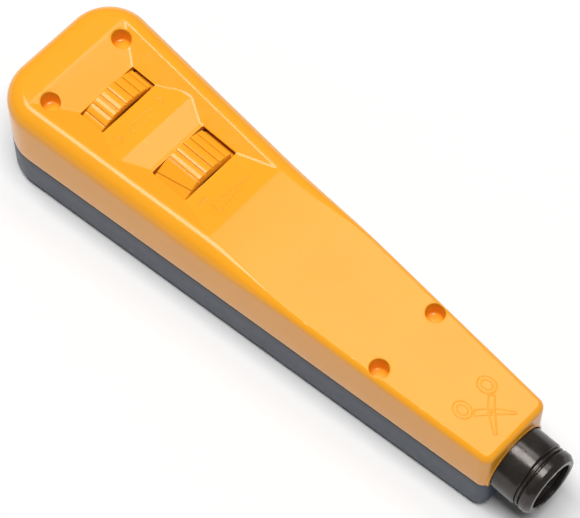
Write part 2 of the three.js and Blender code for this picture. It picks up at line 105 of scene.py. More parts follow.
# Drums: angles are in degrees round the tool's axis, from +Y up.
POWER_DRUM = dict(x0=-32.25, x1=-23.45, r=14.2, ribs=(42.4, 101.0), chamfer=(0.35, 1.0))
RELEASE_DRUM = dict(x0=-52.8, x1=-47.05, r=14.7, ribs=(39.9, 133.0), chamfer=(0.12, 0.2))
DRUM_SPAN = (38.0, 142.0)
RIB_PITCH = 8.5
HUB = (7.4, 9.3)
HUB_END = 1.6
POCKET_FLOOR_Z = 16.2
POCKET_GAP = 0.3

BARREL_R = 7.5
BARREL_REAR_X = 46.0
BARREL_FRONT_X = 69.2
GROOVE_X = 66.6
COLLAR_X = 67.85
COLLAR_R = 7.45
NECK_R = 6.3
SOCKET_R = 5.5
SOCKET_FLOOR_X = 50.0
ROD_BORE_R = 2.9
ROD_BORE_END_X = 48.6
KEY_Y = (-0.5, 1.1)
KEY_DROP = 1.3

# ---- Dimensions of the visual model alone ----
FRONT_CREASE = 24.0
CREASE_RADIUS = 0.42
EDGE_CREASE = 0.3
DIMPLE_LIP = 0.28
DIMPLE_FOOT = [(DIMPLE_R - 0.06, 0.45), (DIMPLE_R - 0.2, 0.13), (DIMPLE_R - 0.5, 0.0), (1.0, 0.0)]
WINDOW_LIP = 0.16
WINDOW_BOTTOM_Z = 20.0
PARTING_EDGE = 0.18
LOWER_EDGE = 0.16
GRID_SPACING = 0.5
RIM_DROP = 0.05
RIM_THICKNESS = 2.2
RIM_STEP = (61.0, 0.9)
RIB_BULGE = 0.09
RIB_GROOVE = [(-0.5, 0.12), (-0.36, 0.5), (0.36, 0.5), (0.5, 0.12)]
PLAIN_FLAT = (103.4, 134.0)
SCORE_LINE = (118.7, 111.9)
SCORE_DEPTH = 0.42
BEAD_X = 67.2
FAINT = dict(width=0.42, height=0.15)
ARROW_PLACES = [(-43.0, 6.6), (-42.6, -6.0)]

# Cuts run past the handle by these limits.
FAR_Y = 30
LOW_Z, HIGH_Z = -5.0, 35.0

# ---- Camera and light ----
LENS = 177.69538
CAMERA_PLACE = (183.15, -197.57, 540.43)
CAMERA_AZIMUTH = math.radians(42.956)
CAMERA_ELEVATION = math.radians(62.705)
CEILING = 3.0
KEY_LAMP = dict(along=(-0.55, 0.46), across=(-0.25, 0.15), radiance=9.6)
STRIP_LAMP = dict(along=(-0.315, 0.12), across=(0.27, 0.52), radiance=3.7)
WORLD_SIDE = 0.10
WORLD_TOP = 0.16
FLOOR_REACH = 6.0
FLOOR_DROP = 0.0002

COS_TAPER, SIN_TAPER = math.cos(SIDE_TAPER), math.sin(SIDE_TAPER)
SIDE_REACH = SIN_TAPER * SIDE_X + COS_TAPER * SIDE_HALF_WIDTH


def top_height(x):
    return TOP_Z + TOP_SLOPE * (TOP_X - x)


def shoulder_share(x):
    """How far the rounded edge has changed from its rear form (0) to its front form (1)."""
    t = np.clip((x - SHOULDER_BLEND[0]) / (SHOULDER_BLEND[1] - SHOULDER_BLEND[0]), 0, 1)
    return t * t * (3 - 2 * t)


def shoulder(x):
    """Radius of the rounded top edge."""
    return SHOULDER_REAR + (SHOULDER_FRONT - SHOULDER_REAR) * shoulder_share(x)


def shoulder_end(x):
    """The angle from the side at which the rounded edge stops: a full quarter only at the rear."""
    return np.radians(90 - FRONT_CREASE * shoulder_share(x))


def half_width(x):
    return (SIDE_REACH - SIN_TAPER * x) / COS_TAPER


# ---- Materials ----
def rgb(r, g, b):
    return (r, g, b, 1.0)


class Nodes:
    """A short way to write a material's node tree."""

    def __init__(self, name):
        self.material = bpy.data.materials.new(name)
        self.material.use_nodes = True
        self.tree = self.material.node_tree
        self.shader = self.tree.nodes["Principled BSDF"]
        self.place = self.add("ShaderNodeTexCoord").outputs["Object"]

    def add(self, kind, **settings):
        node = self.tree.nodes.new(kind)
        for key, value in settings.items():
            setattr(node, key, value)
        return node

    def link(self, source, target):
        self.tree.links.new(source, target)

    def noise(self, scale, detail=2.0, rough=0.5, stretch=None):
        node = self.add("ShaderNodeTexNoise")
        node.inputs["Scale"].default_value = scale
        node.inputs["Detail"].default_value = detail
        node.inputs["Roughness"].default_value = rough
        place = self.place
        if stretch:
            mapping = self.add("ShaderNodeMapping")
            mapping.inputs["Scale"].default_value = stretch
            self.link(place, mapping.inputs["Vector"])
            place = mapping.outputs["Vector"]
        self.link(place, node.inputs["Vector"])
        return node.outputs["Fac"]

    def span(self, value, low, high, start=0.3, end=0.7):
        node = self.add("ShaderNodeMapRange")
        node.inputs["From Min"].default_value = start
        node.inputs["From Max"].default_value = end
        node.inputs["To Min"].default_value = low
        node.inputs["To Max"].default_value = high
        self.link(value, node.inputs["Value"])
        return node.outputs["Result"]

    def mix(self, factor, first, second):
        node = self.add("ShaderNodeMix", data_type="RGBA")
        self.link(factor, node.inputs["Factor"])
        for socket, colour in ((node.inputs[6], first), (node.inputs[7], second)):
            if isinstance(colour, tuple):
                socket.default_value = colour
            else:
                self.link(colour, socket)
        return node.outputs[2]

    def bump(self, *layers):
        normal = None
        for height, distance in layers:
            node = self.add("ShaderNodeBump")
            node.inputs["Strength"].default_value = 1.0
            node.inputs["Distance"].default_value = distance
            self.link(height, node.inputs["Height"])
            if normal is not None:
                self.link(normal, node.inputs["Normal"])
            normal = node.outputs["Normal"]
        self.link(normal, self.shader.inputs["Normal"])

    def edges(self, low, high):
        pointiness = self.add("ShaderNodeNewGeometry").outputs["Pointiness"]
        return self.span(pointiness, 0.0, 1.0, low, high)


def moulded_plastic(name, base, speck_and_edge_highlight, roughness, grain):
    """Spark-eroded moulding: fine grain, faint flow clouds, and convex edges painted lighter as a painted
    highlight.
    """
    n = Nodes(name)
    clouds = n.mix(n.span(n.noise(55, 3), 0.0, 1.0), rgb(*base), rgb(*[c * 0.955 for c in base]))
    specks = n.mix(n.span(n.noise(5200, 2), 0.0, 0.06, 0.5, 0.8), clouds, rgb(*speck_and_edge_highlight))
    # Painted highlight: convex edges, found by pointiness, are painted toward the lighter colour.
    colour = n.mix(n.span(n.edges(0.52, 0.60), 0.0, 0.18, 0.0, 1.0), specks, rgb(*speck_and_edge_highlight))
    n.link(colour, n.shader.inputs["Base Color"])
    n.link(n.span(n.noise(420, 3), roughness - 0.03, roughness + 0.04), n.shader.inputs["Roughness"])
    n.shader.inputs["Specular IOR Level"].default_value = 0.32
    n.bump((n.noise(3200, 2, 0.6), grain), (n.noise(180, 2), grain * 1.6))
    return n.material


def dark_metal(name, base, glint, roughness, stretch):
    """Black oxide on turned steel: fine turning lines, and edges painted brighter as a painted glint."""
    n = Nodes(name)
    blotch = n.mix(n.span(n.noise(240, 4, 0.6), 0.0, 1.0), rgb(*base), rgb(*glint))
    # Painted highlight: convex edges, found by pointiness, are painted toward three times the glint colour.
    edge_glint = n.mix(n.span(n.edges(0.53, 0.62), 0.0, 0.5, 0.0, 1.0), blotch, rgb(*[c * 3.2 for c in glint]))
    n.link(edge_glint, n.shader.inputs["Base Color"])
    n.shader.inputs["Metallic"].default_value = 0.55
    n.link(n.span(n.noise(900, 3), roughness - 0.05, roughness + 0.07), n.shader.inputs["Roughness"])
    n.bump((n.noise(2400, 2, 0.55), 0.000006), (n.noise(1500, 2, 0.5, stretch), 0.000008))
    return n.material


def bare_metal(name, base, roughness, stretch):
    """Ground or drawn steel with directional lines and a little grey bloom."""
    n = Nodes(name)
    tone = n.mix(n.span(n.noise(700, 3), 0.0, 1.0), rgb(*base), rgb(*[c * 0.82 for c in base]))
    n.link(tone, n.shader.inputs["Base Color"])
    n.shader.inputs["Metallic"].default_value = 1.0
    n.link(n.span(n.noise(1300, 2), roughness - 0.06, roughness + 0.08), n.shader.inputs["Roughness"])
    n.bump((n.noise(1800, 2, 0.5, stretch), 0.000008))
    return n.material


YELLOW = moulded_plastic("yellow_plastic", (0.92, 0.378, 0.021), (0.96, 0.45, 0.05), 0.15, 0.0000035)
DRUM_YELLOW = moulded_plastic("drum_plastic", (0.92, 0.372, 0.018), (0.96, 0.45, 0.05), 0.18, 0.000003)
GREY = moulded_plastic("grey_plastic", (0.066, 0.080, 0.106), (0.10, 0.115, 0.14), 0.42, 0.000009)
BLACK_METAL = dark_metal("black_oxide", (0.036, 0.031, 0.028), (0.062, 0.055, 0.05), 0.21, (4.0, 0.6, 0.6))
TURNED_STEEL = bare_metal("turned_steel", (0.56, 0.57, 0.58), 0.28, (8.0, 1.0, 1.0))
SCREW_STEEL = bare_metal("screw_steel", (0.50, 0.50, 0.51), 0.34, (1.0, 1.0, 6.0))
SPRING_STEEL = bare_metal("spring_steel", (0.36, 0.36, 0.37), 0.3, (1.0, 4.0, 4.0))
WHITE_PLASTIC = moulded_plastic("white_plastic", (0.78, 0.77, 0.72), (0.84, 0.83, 0.8), 0.4, 0.000004)
BLACK_PLASTIC = moulded_plastic("black_plastic", (0.02, 0.02, 0.021), (0.05, 0.05, 0.05), 0.42, 0.000006)


# ---- Mesh helpers ----
def mesh_from(name, points, faces):
    """A mesh from points in millimetres."""
    mesh = bpy.data.meshes.new(name)
    mesh.from_pydata([tuple(float(c) * MM for c in p) for p in points], [], faces)
    return mesh


def placed(name, data):
    """A new object in the scene."""
    thing = bpy.data.objects.new(name, data)
    bpy.context.scene.collection.objects.link(thing)
    return thing


def piece(name, points, faces, material, body, slot, replaces, sharp):
    """A finished piece from points in millimetres."""
    dress(name, mesh_from(name, points, faces), material, body, replaces, sharp)


def dress(name, mesh, material, body, replaces, sharp):
    """Places a mesh as a piece, inside the CAD's box and with edges over `sharp` degrees kept crisp."""
    work = bmesh.new()
    work.from_mesh(mesh)
    bmesh.ops.recalc_face_normals(work, faces=work.faces[:])
    for face in work.faces:
        face.smooth = True
    limit = math.radians(sharp)
    for edge in work.edges:
        edge.smooth = edge.is_manifold and edge.calc_face_angle(0.0) < limit
    low = np.array(cad_box[0])
    high = np.array(cad_box[1])
    for vertex in work.verts:
        vertex.co = Vector(np.clip(np.array(vertex.co), low, high))
    work.to_mesh(mesh)
    work.free()
    mesh.materials.clear()
    mesh.materials.append(material)
    thing = placed(name, mesh)
    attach(thing, body)
    if replaces:
        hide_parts(*replaces)


def ring_faces(count, first, second):
    return [
        (first + i, first + (i + 1) % count, second + (i + 1) % count, second + i)
        for i in range(count)
    ]


def loft(rings):
    """Points and faces of a stack of equal rings, closed by flat ends."""
    count = len(rings[0])
    points = [p for ring in rings for p in ring]
    faces = []
    for k in range(len(rings) - 1):
        faces += ring_faces(count, k * count, (k + 1) * count)
    last = (len(rings) - 1) * count
    faces.append(tuple(range(count - 1, -1, -1)))
    faces.append(tuple(range(last, last + count)))
    return points, faces


def together(bodies):
    """Several [points, faces] bodies as one."""
    points, faces = [], []
    for more, more_faces in bodies:
        faces += [tuple(i + len(points) for i in face) for face in more_faces]
        points += more
    return points, faces


def around_axis(x, polar):
    """Points at [angle in degrees, radius] round the tool's axis, at one x."""
    return [(x, r * math.cos(math.radians(a)), AXIS_Z + r * math.sin(math.radians(a))) for a, r in polar]


def turn_angles(segments):
    return np.arange(segments) * 2 * math.pi / segments


def turned(profile, segments):
    """A closed [x, radius] profile turned about the tool's axis."""
    angles = turn_angles(segments)
    points = [(x, r * math.cos(a), AXIS_Z + r * math.sin(a)) for x, r in profile for a in angles]
    faces = []
    for k in range(len(profile)):
        faces += ring_faces(segments, k * segments, ((k + 1) % len(profile)) * segments)
    return points, faces


def rounded(corner, before, after, radius, steps=5):
    """Points that round one corner of a profile."""
    c, a, b = (np.array(p, float) for p in (corner, before, after))
    u = (a - c) / np.linalg.norm(a - c)
    v = (b - c) / np.linalg.norm(b - c)
    angle = math.acos(float(np.clip(u @ v, -1, 1)))
    reach = radius / math.tan(angle / 2)
    start, end = c + u * reach, c + v * reach
    middle = c + (u + v) / np.linalg.norm(u + v) * radius / math.sin(angle / 2)
    out = []
    for i in range(steps + 1):
        t = i / steps
        p = start * (1 - t) + end * t - middle
        out.append(tuple(middle + p / np.linalg.norm(p) * radius))
    return out


def round_profile(points, radii, steps=5):
    """A closed profile with the corners rounded by the given radii; 0 keeps a corner."""
    out = []
    for i, (p, r) in enumerate(zip(points, radii)):
        if r:
            out += rounded(p, points[i - 1], points[(i + 1) % len(points)], r, steps)
        else:
            out.append(tuple(p))
    return out


def solid_mesh(name, points, faces):
    """An object to carve, or to carve with."""
    mesh = mesh_from(name, points, faces)
    work = bmesh.new()
    work.from_mesh(mesh)
    bmesh.ops.recalc_face_normals(work, faces=work.faces[:])
    bmesh.ops.triangulate(work, faces=[f for f in work.faces if len(f.verts) > 4])
    work.to_mesh(mesh)
    work.free()
    return placed(name, mesh)


def carve(base, steps):
    """Joins and cuts: each step is "UNION" or "DIFFERENCE" with points and faces, or with an object."""
    tools = []
    for i, (operation, *shape) in enumerate(steps):
        tool = shape[0] if len(shape) == 1 else solid_mesh(f"tool_{i}", *shape)
        modifier = base.modifiers.new(f"step_{i}", "BOOLEAN")
        modifier.operation = operation
        modifier.object = tool
        modifier.solver = "MANIFOLD"
        tools.append(tool)
    bpy.context.view_layer.update()
    shape = base.evaluated_get(bpy.context.evaluated_depsgraph_get())
    mesh = bpy.data.meshes.new_from_object(shape)
    for thing in [base, *tools]:
        bpy.data.objects.remove(thing, do_unlink=True)
    return mesh


def block(x0, x1, y0, y1, z0, z1):
    points = [(x, y, z) for x in (x0, x1) for y in (y0, y1) for z in (z0, z1)]
    faces = [(0, 1, 3, 2), (4, 6, 7, 5), (0, 4, 5, 1), (2, 3, 7, 6), (0, 2, 6, 4), (1, 5, 7, 3)]
    return points, faces


def rod(x0, x1, r, segments=72):
    """A cylinder along the tool's axis."""
    angles = turn_angles(segments)
    return loft([[(x, r * math.cos(a), AXIS_Z + r * math.sin(a)) for a in angles] for x in (x0, x1)])


def post(x, y, profile, segments=40):
    """A [radius, z] profile turned about an upright line, closed by flat ends."""
    angles = turn_angles(segments)
    rings = [[(x + r * math.cos(a), y + r * math.sin(a), z) for a in angles] for r, z in profile]
    return loft(rings)


# ---- Handle outline ----
def arc(radius, start, end, steps):
    """Points on a circle about the origin, between two angles in degrees."""
    return [
        (radius * math.cos(a), radius * math.sin(a))
        for a in (math.radians(start + (end - start) * i / steps) for i in range(steps + 1))
    ]


def handle_outline(face_x, face_corner, spacing=0.75):
    """Points round the handle and their outward normals, from the middle of the front face."""
    side_angle = 90 - math.degrees(SIDE_TAPER)

    def corner(x, radius, start, end, steps):
        y = (SIDE_REACH - radius - SIN_TAPER * x) / COS_TAPER
        return [((x + dx, y + dy), (dx / radius, dy / radius)) for dx, dy in arc(radius, start, end, steps)]

    front = corner(face_x - face_corner, face_corner, 0, side_angle, 9)
    rear = corner(BUTT_X + BUTT_CORNER, BUTT_CORNER, side_angle, 180, 30)

    def straight(a, b):
        (ax, ay), normal = a
        (bx, by), _ = b
        count = max(2, round(math.hypot(bx - ax, by - ay) / spacing))
        return [
            ((ax + (bx - ax) * i / count, ay + (by - ay) * i / count), normal)
            for i in range(1, count)
        ]

    front_start = ((face_x, 0.0), (1.0, 0.0))
    rear_end = ((BUTT_X, 0.0), (-1.0, 0.0))
    half = [*straight(front_start, front[0]), *front, *straight(front[-1], rear[0]), *rear]
    half += straight(rear[-1], rear_end)
    mirrored = [((x, -y), (nx, -ny)) for (x, y), (nx, ny) in reversed(half)]
    both = [front_start, *half, rear_end, *mirrored]
    return np.array([p for p, _ in both]), np.array([n for _, n in both])


OUTLINE, NORMALS = handle_outline(FACE_X, FACE_CORNER)


def inset(points, normals, amount):
    return points - normals * np.reshape(amount, (-1, 1))


# ---- Recesses and the top surface ----
def edge_line(x):
    """Half width of the flat top."""
    return half_width(x) - shoulder(x)


RECESS_X = np.array([x for x, _ in RECESS_FLOOR])
RECESS_HALF = np.minimum([half for _, half in RECESS_FLOOR], edge_line(RECESS_X))
RECESS_Z = top_height(RECESS_X) - FACET_SLOPE * (edge_line(RECESS_X) - RECESS_HALF)


def recess_height(x, y):
    """The control recess: a floor that dips at each window, between two sloping facets."""
    floor = np.interp(x, RECESS_X, RECESS_Z)
    facet = top_height(x) - FACET_SLOPE * (edge_line(x) - np.abs(y))
    inside = (x > RECESS_X[0]) & (x < RECESS_X[-1])
    return np.where(inside, np.maximum(floor, facet), math.inf)


def crease_lines():
    """Extra points on the creases, where the surface turns fastest."""
    corners = np.column_stack([RECESS_X, RECESS_HALF])
    out = []
    for (x, half), (next_x, next_half) in zip(corners[:-1], corners[1:]):
        steps = max(2, int(math.hypot(next_x - x, next_half - half) / 0.3))
        share = np.arange(steps) / steps
        for side in (-1, 1):
            for off in (-0.5, -0.25, 0.0, 0.25, 0.5):
                ys = side * (half + (next_half - half) * share + off)
                out.append(np.column_stack([x + (next_x - x) * share, ys]))
    along = np.arange(RECESS_X[0], RECESS_X[-1], 0.4)
    for inward in (0.12, 0.26, 0.42):
        out += [np.column_stack([along, side * (edge_line(along) - inward)]) for side in (-1, 1)]
    for x, half in corners:
        ys = np.arange(-half, half + 0.01, 0.3)
        out += [np.column_stack([np.full(len(ys), x + off), ys]) for off in (-0.25, 0.0, 0.25)]
    return out


def side_depth(x, y):
    """How far a point lies inside the straight side."""
    return SIDE_REACH - (SIN_TAPER * x + COS_TAPER * np.abs(y))


def sharp_top(x, y):
    """Height of the top with every crease sharp."""
    radius, end = shoulder(x), shoulder_end(x)
    cosine = np.clip(1 - side_depth(x, y) / radius, 0, 1)
    plain = top_height(x) - np.maximum(0, radius * (np.sin(end) - np.sqrt(1 - cosine * cosine)))
    return np.minimum(plain, recess_height(x, y))


KERNEL = [(0.0, 0.0)] + [
    (share * math.cos(a), share * math.sin(a))
    for share in (0.5, 1.0) for a in np.arange(8) * math.pi / 4 + share
]


def beside_recess(x):
    return (x > RECESS_X[0] + 0.5) & (x < RECESS_X[-1] - 0.5)


def top_surface(x, y):
    """The top with its creases rounded by averaging over a small disc."""
    flat_from = shoulder(x) * (1 - np.cos(shoulder_end(x)))
    room = np.maximum(0.0, side_depth(x, y) - flat_from) + 0.05
    edge_room = EDGE_CREASE + np.maximum(0.0, room - EDGE_CREASE)
    radius = np.where(beside_recess(x), edge_room, room).clip(0.0, CREASE_RADIUS)
    return np.mean([sharp_top(x + radius * dx, y + radius * dy) for dx, dy in KERNEL], axis=0)


def shoulder_point(t, radius, end):
    """Inset and drop of the rounded edge at share t of its turn."""
    angle = end * t
    return radius * (1 - np.cos(angle)), radius * (np.sin(end) - np.sin(angle))


def shoulder_ring(t):
    """One ring of the rounded top edge, from the side (t = 0) to the flat (t = 1)."""
    reach, drop = shoulder_point(t, shoulder(OUTLINE[:, 0]), shoulder_end(OUTLINE[:, 0]))
    plan = inset(OUTLINE, NORMALS, reach)
    x, y = plan[:, 0], plan[:, 1]
    z = np.minimum(top_height(x) - drop, recess_height(x, y))
    return plan, np.where(beside_recess(x) & (t > 0.8), top_surface(x, y), z)


def loop_around(x, y, radius, count=48):
    angles = turn_angles(count)
    return np.stack([x + radius * np.cos(angles), y + radius * np.sin(angles)], 1)


def window_loop(window, grow, spacing=0.3, corner=0.3):
    """A rounded rectangle grown by `grow`, with evenly spread points."""
    x0, x1 = window["x0"] - grow, window["x1"] + grow
    y0, y1 = window["y0"] - grow, window["y1"] + grow
    radius = corner + grow
    centres = [(x1 - radius, y1 - radius, 0), (x0 + radius, y1 - radius, 90),
               (x0 + radius, y0 + radius, 180), (x1 - radius, y0 + radius, 270)]
    corners = [[(cx + dx, cy + dy) for dx, dy in arc(radius, a, a + 90, 5)] for cx, cy, a in centres]
    sides = [window["x1"] - window["x0"], window["y1"] - window["y0"]] * 2
    out = []
    for k in range(4):
        (sx, sy), (ex, ey) = corners[k][-1], corners[(k + 1) % 4][0]
        steps = round((sides[k] - 2 * corner) / spacing)
        out += corners[k]
        out += [(sx + (ex - sx) * i / steps, sy + (ey - sy) * i / steps) for i in range(1, steps)]
    return np.array(out)


class TopMesh:
    """Collects the points and faces of the handle's top and side."""

    def __init__(self):
        self.points = []
        self.faces = []

    def add(self, plan, z):
        first = len(self.points)
        self.points += [(p[0], p[1], h) for p, h in zip(plan, np.broadcast_to(z, len(plan)))]
        return first

    def skirt(self, count, rings):
        for upper, lower in zip(rings, rings[1:]):
            self.faces += ring_faces(count, upper, lower)

    def pit(self, loops, heights):
        """Nested loops that run down into a hole; returns the number of its first point."""
        firsts = [self.add(loop, z) for loop, z in zip(loops, heights)]
        count = len(loops[0])
        self.skirt(count, firsts)
        self.faces.append(tuple(firsts[-1] + i for i in range(count)))
        return firsts[0]


# A quarter round, as shares of its radius: out from the wall, and down from the top.
LIP = [(1 - math.sin(math.radians(a)), 1 - math.cos(math.radians(a))) for a in range(0, 91, 15)]


def inside_polygon(points, loop):
    """Which points lie inside a closed loop."""
    x, y = points[:, 0], points[:, 1]
    hit = np.zeros(len(points), bool)
    ax, ay = loop[:, 0], loop[:, 1]
    bx, by = np.roll(ax, -1), np.roll(ay, -1)
    for i in range(len(loop)):
        crosses = (ay[i] > y) != (by[i] > y)
        if by[i] != ay[i]:
            hit ^= crosses & (x < (bx[i] - ax[i]) * (y - ay[i]) / (by[i] - ay[i]) + ax[i])
    return hit


def lattice(spacing):
    """A triangular grid of points that covers the whole top."""
    rows = np.arange(-SIDE_HALF_WIDTH, SIDE_HALF_WIDTH, spacing * math.sqrt(3) / 2)
    grid = [(x + (spacing / 2 if i % 2 else 0), y)
            for i, y in enumerate(rows) for x in np.arange(BUTT_X, FACE_X, spacing)]
    return np.array(grid)


def lip_loops(loop_at, radius):
    """Loops round the rounded edge of a hole, and their heights; `loop_at` grows the hole."""
    loops = [loop_at(radius * out) for out, _ in LIP]
    heights = [top_surface(loop[:, 0], loop[:, 1]) - radius * down for loop, (_, down) in zip(loops, LIP)]
    return loops, heights


def dimple(body, x, y):
    loops, heights = lip_loops(lambda out: loop_around(x, y, DIMPLE_R + out), DIMPLE_LIP)
    floor_z = top_height(x) - DIMPLE_DEPTH
    for r, up in DIMPLE_FOOT:
        loops.append(loop_around(x, y, r))
        heights.append(floor_z + up)
    return body.pit(loops, heights), loops[0]


def window_hole(body, window):
    loops, heights = lip_loops(lambda out: window_loop(window, out), WINDOW_LIP)
    loops.append(loops[-1])
    heights.append(WINDOW_BOTTOM_Z)
    return body.pit(loops, heights), loops[0]


def side_wall(body, steps, first_step):
    """The underside, the wall and the foot of the rounded edge; returns the number of its first point."""
    base = PARTING_Z + PARTING_GAP
    levels = [body.add(*shoulder_ring(i / steps)) for i in range(first_step, -1, -1)]
    wall_top = shoulder_ring(0.0)[1]
    for share in (0.35, 0.7):
        levels.append(body.add(OUTLINE, wall_top + (base + PARTING_EDGE - wall_top) * share))
    for up, pull in ((1.0, 0.0), (0.4, 0.12), (0.0, 0.55)):
        plan = inset(OUTLINE, NORMALS, pull * PARTING_EDGE)
        levels.append(body.add(plan, base + up * PARTING_EDGE))
    body.skirt(len(OUTLINE), levels)
    body.faces.append(tuple(levels[-1] + i for i in range(len(OUTLINE))))
    return levels[0]


def on_top(plan):
    return np.column_stack([plan, top_surface(plan[:, 0], plan[:, 1])])


def top_points(rings, holes):
    """Free points of the top: the rings of the rounded edge, a grid and the creases, clear of every hole."""
    rim = rings[-1][0]
    grid = lattice(GRID_SPACING)
    tops = [np.column_stack([plan, z]) for plan, z in rings]
    tops.append(on_top(grid[inside_polygon(grid, inset(rim, NORMALS, 0.25))]))
    for line in crease_lines():
        tops.append(on_top(line[inside_polygon(line, inset(rim, NORMALS, 0.08))]))
    tops = np.vstack(tops)
    for _, loop in holes:
        outward = loop - loop.mean(0)
        clear = outward / np.linalg.norm(outward, axis=1, keepdims=True) * 0.1
        tops = tops[~inside_polygon(tops[:, :2], loop.mean(0) + outward * 1.03 + clear)]
    return tops


def upper_outside():
    """One closed body: the side wall, the rounded edge, the top with its holes, the underside."""
    body, steps, first_step = TopMesh(), 18, 3
    rim_first = side_wall(body, steps, first_step)
    holes = [dimple(body, x, y) for x, y in SCREW_PLACES]
    holes += [window_hole(body, window) for window in (POWER_WINDOW, RELEASE_WINDOW)]
    tops = top_points([shoulder_ring(i / steps) for i in range(first_step + 1, steps + 1)], holes)
    stitch(body, rim_first, holes, body.add(tops[:, :2], tops[:, 2]), len(tops))
    return body


def stitch(body, rim_first, holes, inner_first, inner_count):
    """Fills the top between the rim ring, the holes and the free points."""
    rim_count = len(OUTLINE)
    ids = list(range(rim_first, rim_first + rim_count))
    edges = [(i, (i + 1) % rim_count) for i in range(rim_count)]
    for first, loop in holes:
        start = len(ids)
        ids += range(first, first + len(loop))
        edges += [(start + i, start + (i + 1) % len(loop)) for i in range(len(loop))]
    ids += range(inner_first, inner_first + inner_count)
    flat = [Vector(body.points[i][:2]) for i in ids]
    places, _, triangles, sources, *_ = delaunay_2d_cdt(flat, edges, [], 1, 1e-5)
    origin = [ids[source[0]] for source in sources]
    triangles = np.array([list(t) for t in triangles])
    middle = np.array([(v[0], v[1]) for v in places])[triangles].mean(1)
    in_hole = np.zeros(len(triangles), bool)
    for _, loop in holes:
        in_hole |= inside_polygon(middle, loop)
    body.faces += [tuple(origin[i] for i in triangle) for triangle in triangles[~in_hole]]


def room(z_low, z_high_of):
    """The hollow inside the shells, less the screw bosses and the bulkheads."""
    y_front = half_width(CAVITY_END_X) - WALL
    plan = [tuple(p) for p in inset(OUTLINE, NORMALS, WALL) if p[0] < CAVITY_END_X - 0.01]
    plan += [(CAVITY_END_X, -y_front), (CAVITY_END_X, y_front)]
    plan.sort(key=lambda p: math.atan2(p[1], p[0] + 10))
    rings = [[(x, y, z_low) for x, y in plan], [(x, y, z_high_of(x)) for x, y in plan]]
    kept = [("DIFFERENCE", *post(x, y, [(BOSS_R, LOW_Z), (BOSS_R, HIGH_Z)], 48)) for x, y in SCREW_PLACES]
    kept += [("DIFFERENCE", *block(x0, x1, -FAR_Y, FAR_Y, LOW_Z, HIGH_Z)) for x0, x1, _ in BULKHEADS]
    return placed("room", carve(solid_mesh("room", *loft(rings)), kept))


def passages():
    """The bores on the tool's axis, and the screw holes."""
    cuts = [("DIFFERENCE", *rod(x0 - 0.5, x1 + 0.5, r)) for x0, x1, r in BULKHEADS if r]
    cuts.append(("DIFFERENCE", *rod(*GUIDE_POCKET)))
    cuts.append(("DIFFERENCE", *rod(CAVITY_END_X - 1, FACE_X + 2, BARREL_R + 0.22, 128)))
    cuts.append(("DIFFERENCE", *rod(BUTT_X - 1, BUTT_X + 3, STORE_R)))
    hole = [(SCREW_HOLE_R, -1.0), (SCREW_HOLE_R, SCREW_HOLE_TOP_Z)]
    return cuts + [("DIFFERENCE", *post(x, y, hole)) for x, y in SCREW_PLACES]


def drum_pocket(spec, window):
    """Room for a drum's rim to turn in."""
    r = spec["r"] + POCKET_GAP
    low = math.degrees(math.asin((POCKET_FLOOR_Z - AXIS_Z) / r))
    ring = [(y, AXIS_Z + z) for y, z in arc(r, low, 180 - low, 90)]
    ends = (window["x0"] - 0.1, window["x1"] + 0.1)
    return loft([[(x, y, z) for y, z in ring] for x in ends])


def face_lip():
    """The thin raised ring round the barrel's hole."""
    inner, outer, rear, front = BARREL_R + 0.1, BARREL_R + 0.7, FACE_X - 0.6, FACE_X + 0.12
    return turned(round_profile(
        [(rear, inner), (front, inner), (front, outer), (rear, outer)], (0, 0, 0.18, 0)), 128)


def upper_shell():
    body = upper_outside()
    base = solid_mesh("upper_outside", body.points, body.faces)
    steps = [
        ("UNION", *face_lip()),
        ("DIFFERENCE", *block(BUTT_X, TIP_X + 2, -FAR_Y, FAR_Y, LOW_Z, PARTING_Z + PARTING_GAP)),
        ("DIFFERENCE", room(5.0, lambda x: top_height(x) - ROOF)),
        ("DIFFERENCE", *drum_pocket(POWER_DRUM, POWER_WINDOW)),
        ("DIFFERENCE", *drum_pocket(RELEASE_DRUM, RELEASE_WINDOW)),
        *passages(),
    ]
    mesh = carve(base, steps)
    dress("upper_shell_skin", mesh, YELLOW, "housing", ["upper_shell"], 19)


def lower_shell():
    outline, normals = handle_outline(FACE_X - 0.15, 2.6)
    top, edge = PARTING_Z - PARTING_GAP, LOWER_EDGE
    levels = [(edge * 0.9, top), (edge * 0.25, top - edge * 0.3), (0.0, top - edge), (0.0, 8.0), (0.0, 5.0)]
    for degrees in range(0, 91, 9):
        t = math.radians(degrees)
        levels.append((BACK_EDGE * (1 - math.cos(t)), BACK_EDGE * (1 - math.sin(t))))
    stack = [[(x, y, z) for x, y in inset(outline, normals, pull)] for pull, z in levels]
    base = solid_mesh("lower_outside", *loft(stack))
    steps = [("DIFFERENCE", room(FLOOR, lambda x: 30.0)), *passages()]
    r = HEAD_POCKET_R
    pocket = [(r + 0.35, -0.2), (r + 0.35, 0.0), (r + 0.18, 0.05), (r + 0.06, 0.18), (r, 0.4),
              (r, HEAD_POCKET_DEPTH)]
    steps += [("DIFFERENCE", *post(x, y, pocket)) for x, y in SCREW_PLACES]
    mesh = carve(base, steps)
    dress("lower_shell_skin", mesh, GREY, "housing", ["lower_shell"], 28)


# ---- Nose ----
def barrel():
    """The round body with the blade socket, its waist for the retaining ring and the rod's bore."""
    waist_r = 6.72
    profile = round_profile(
        [(BARREL_FRONT_X, SOCKET_R), (BARREL_FRONT_X, NECK_R), (67.6, NECK_R), (67.6, waist_r),
         (GROOVE_X, waist_r), (GROOVE_X, BARREL_R), (BARREL_REAR_X, BARREL_R), (BARREL_REAR_X, ROD_BORE_R),
         (ROD_BORE_END_X, ROD_BORE_R), (ROD_BORE_END_X, 0.01), (SOCKET_FLOOR_X, 0.01),
         (SOCKET_FLOOR_X, SOCKET_R)],
        (0, 0, 0, 0, 0.05, 0.5, 0.4, 0, 0, 0, 0, 0.3), 6)
    nose_piece("blade_holder_barrel", turned(profile, 144), "blade_holder", 40)


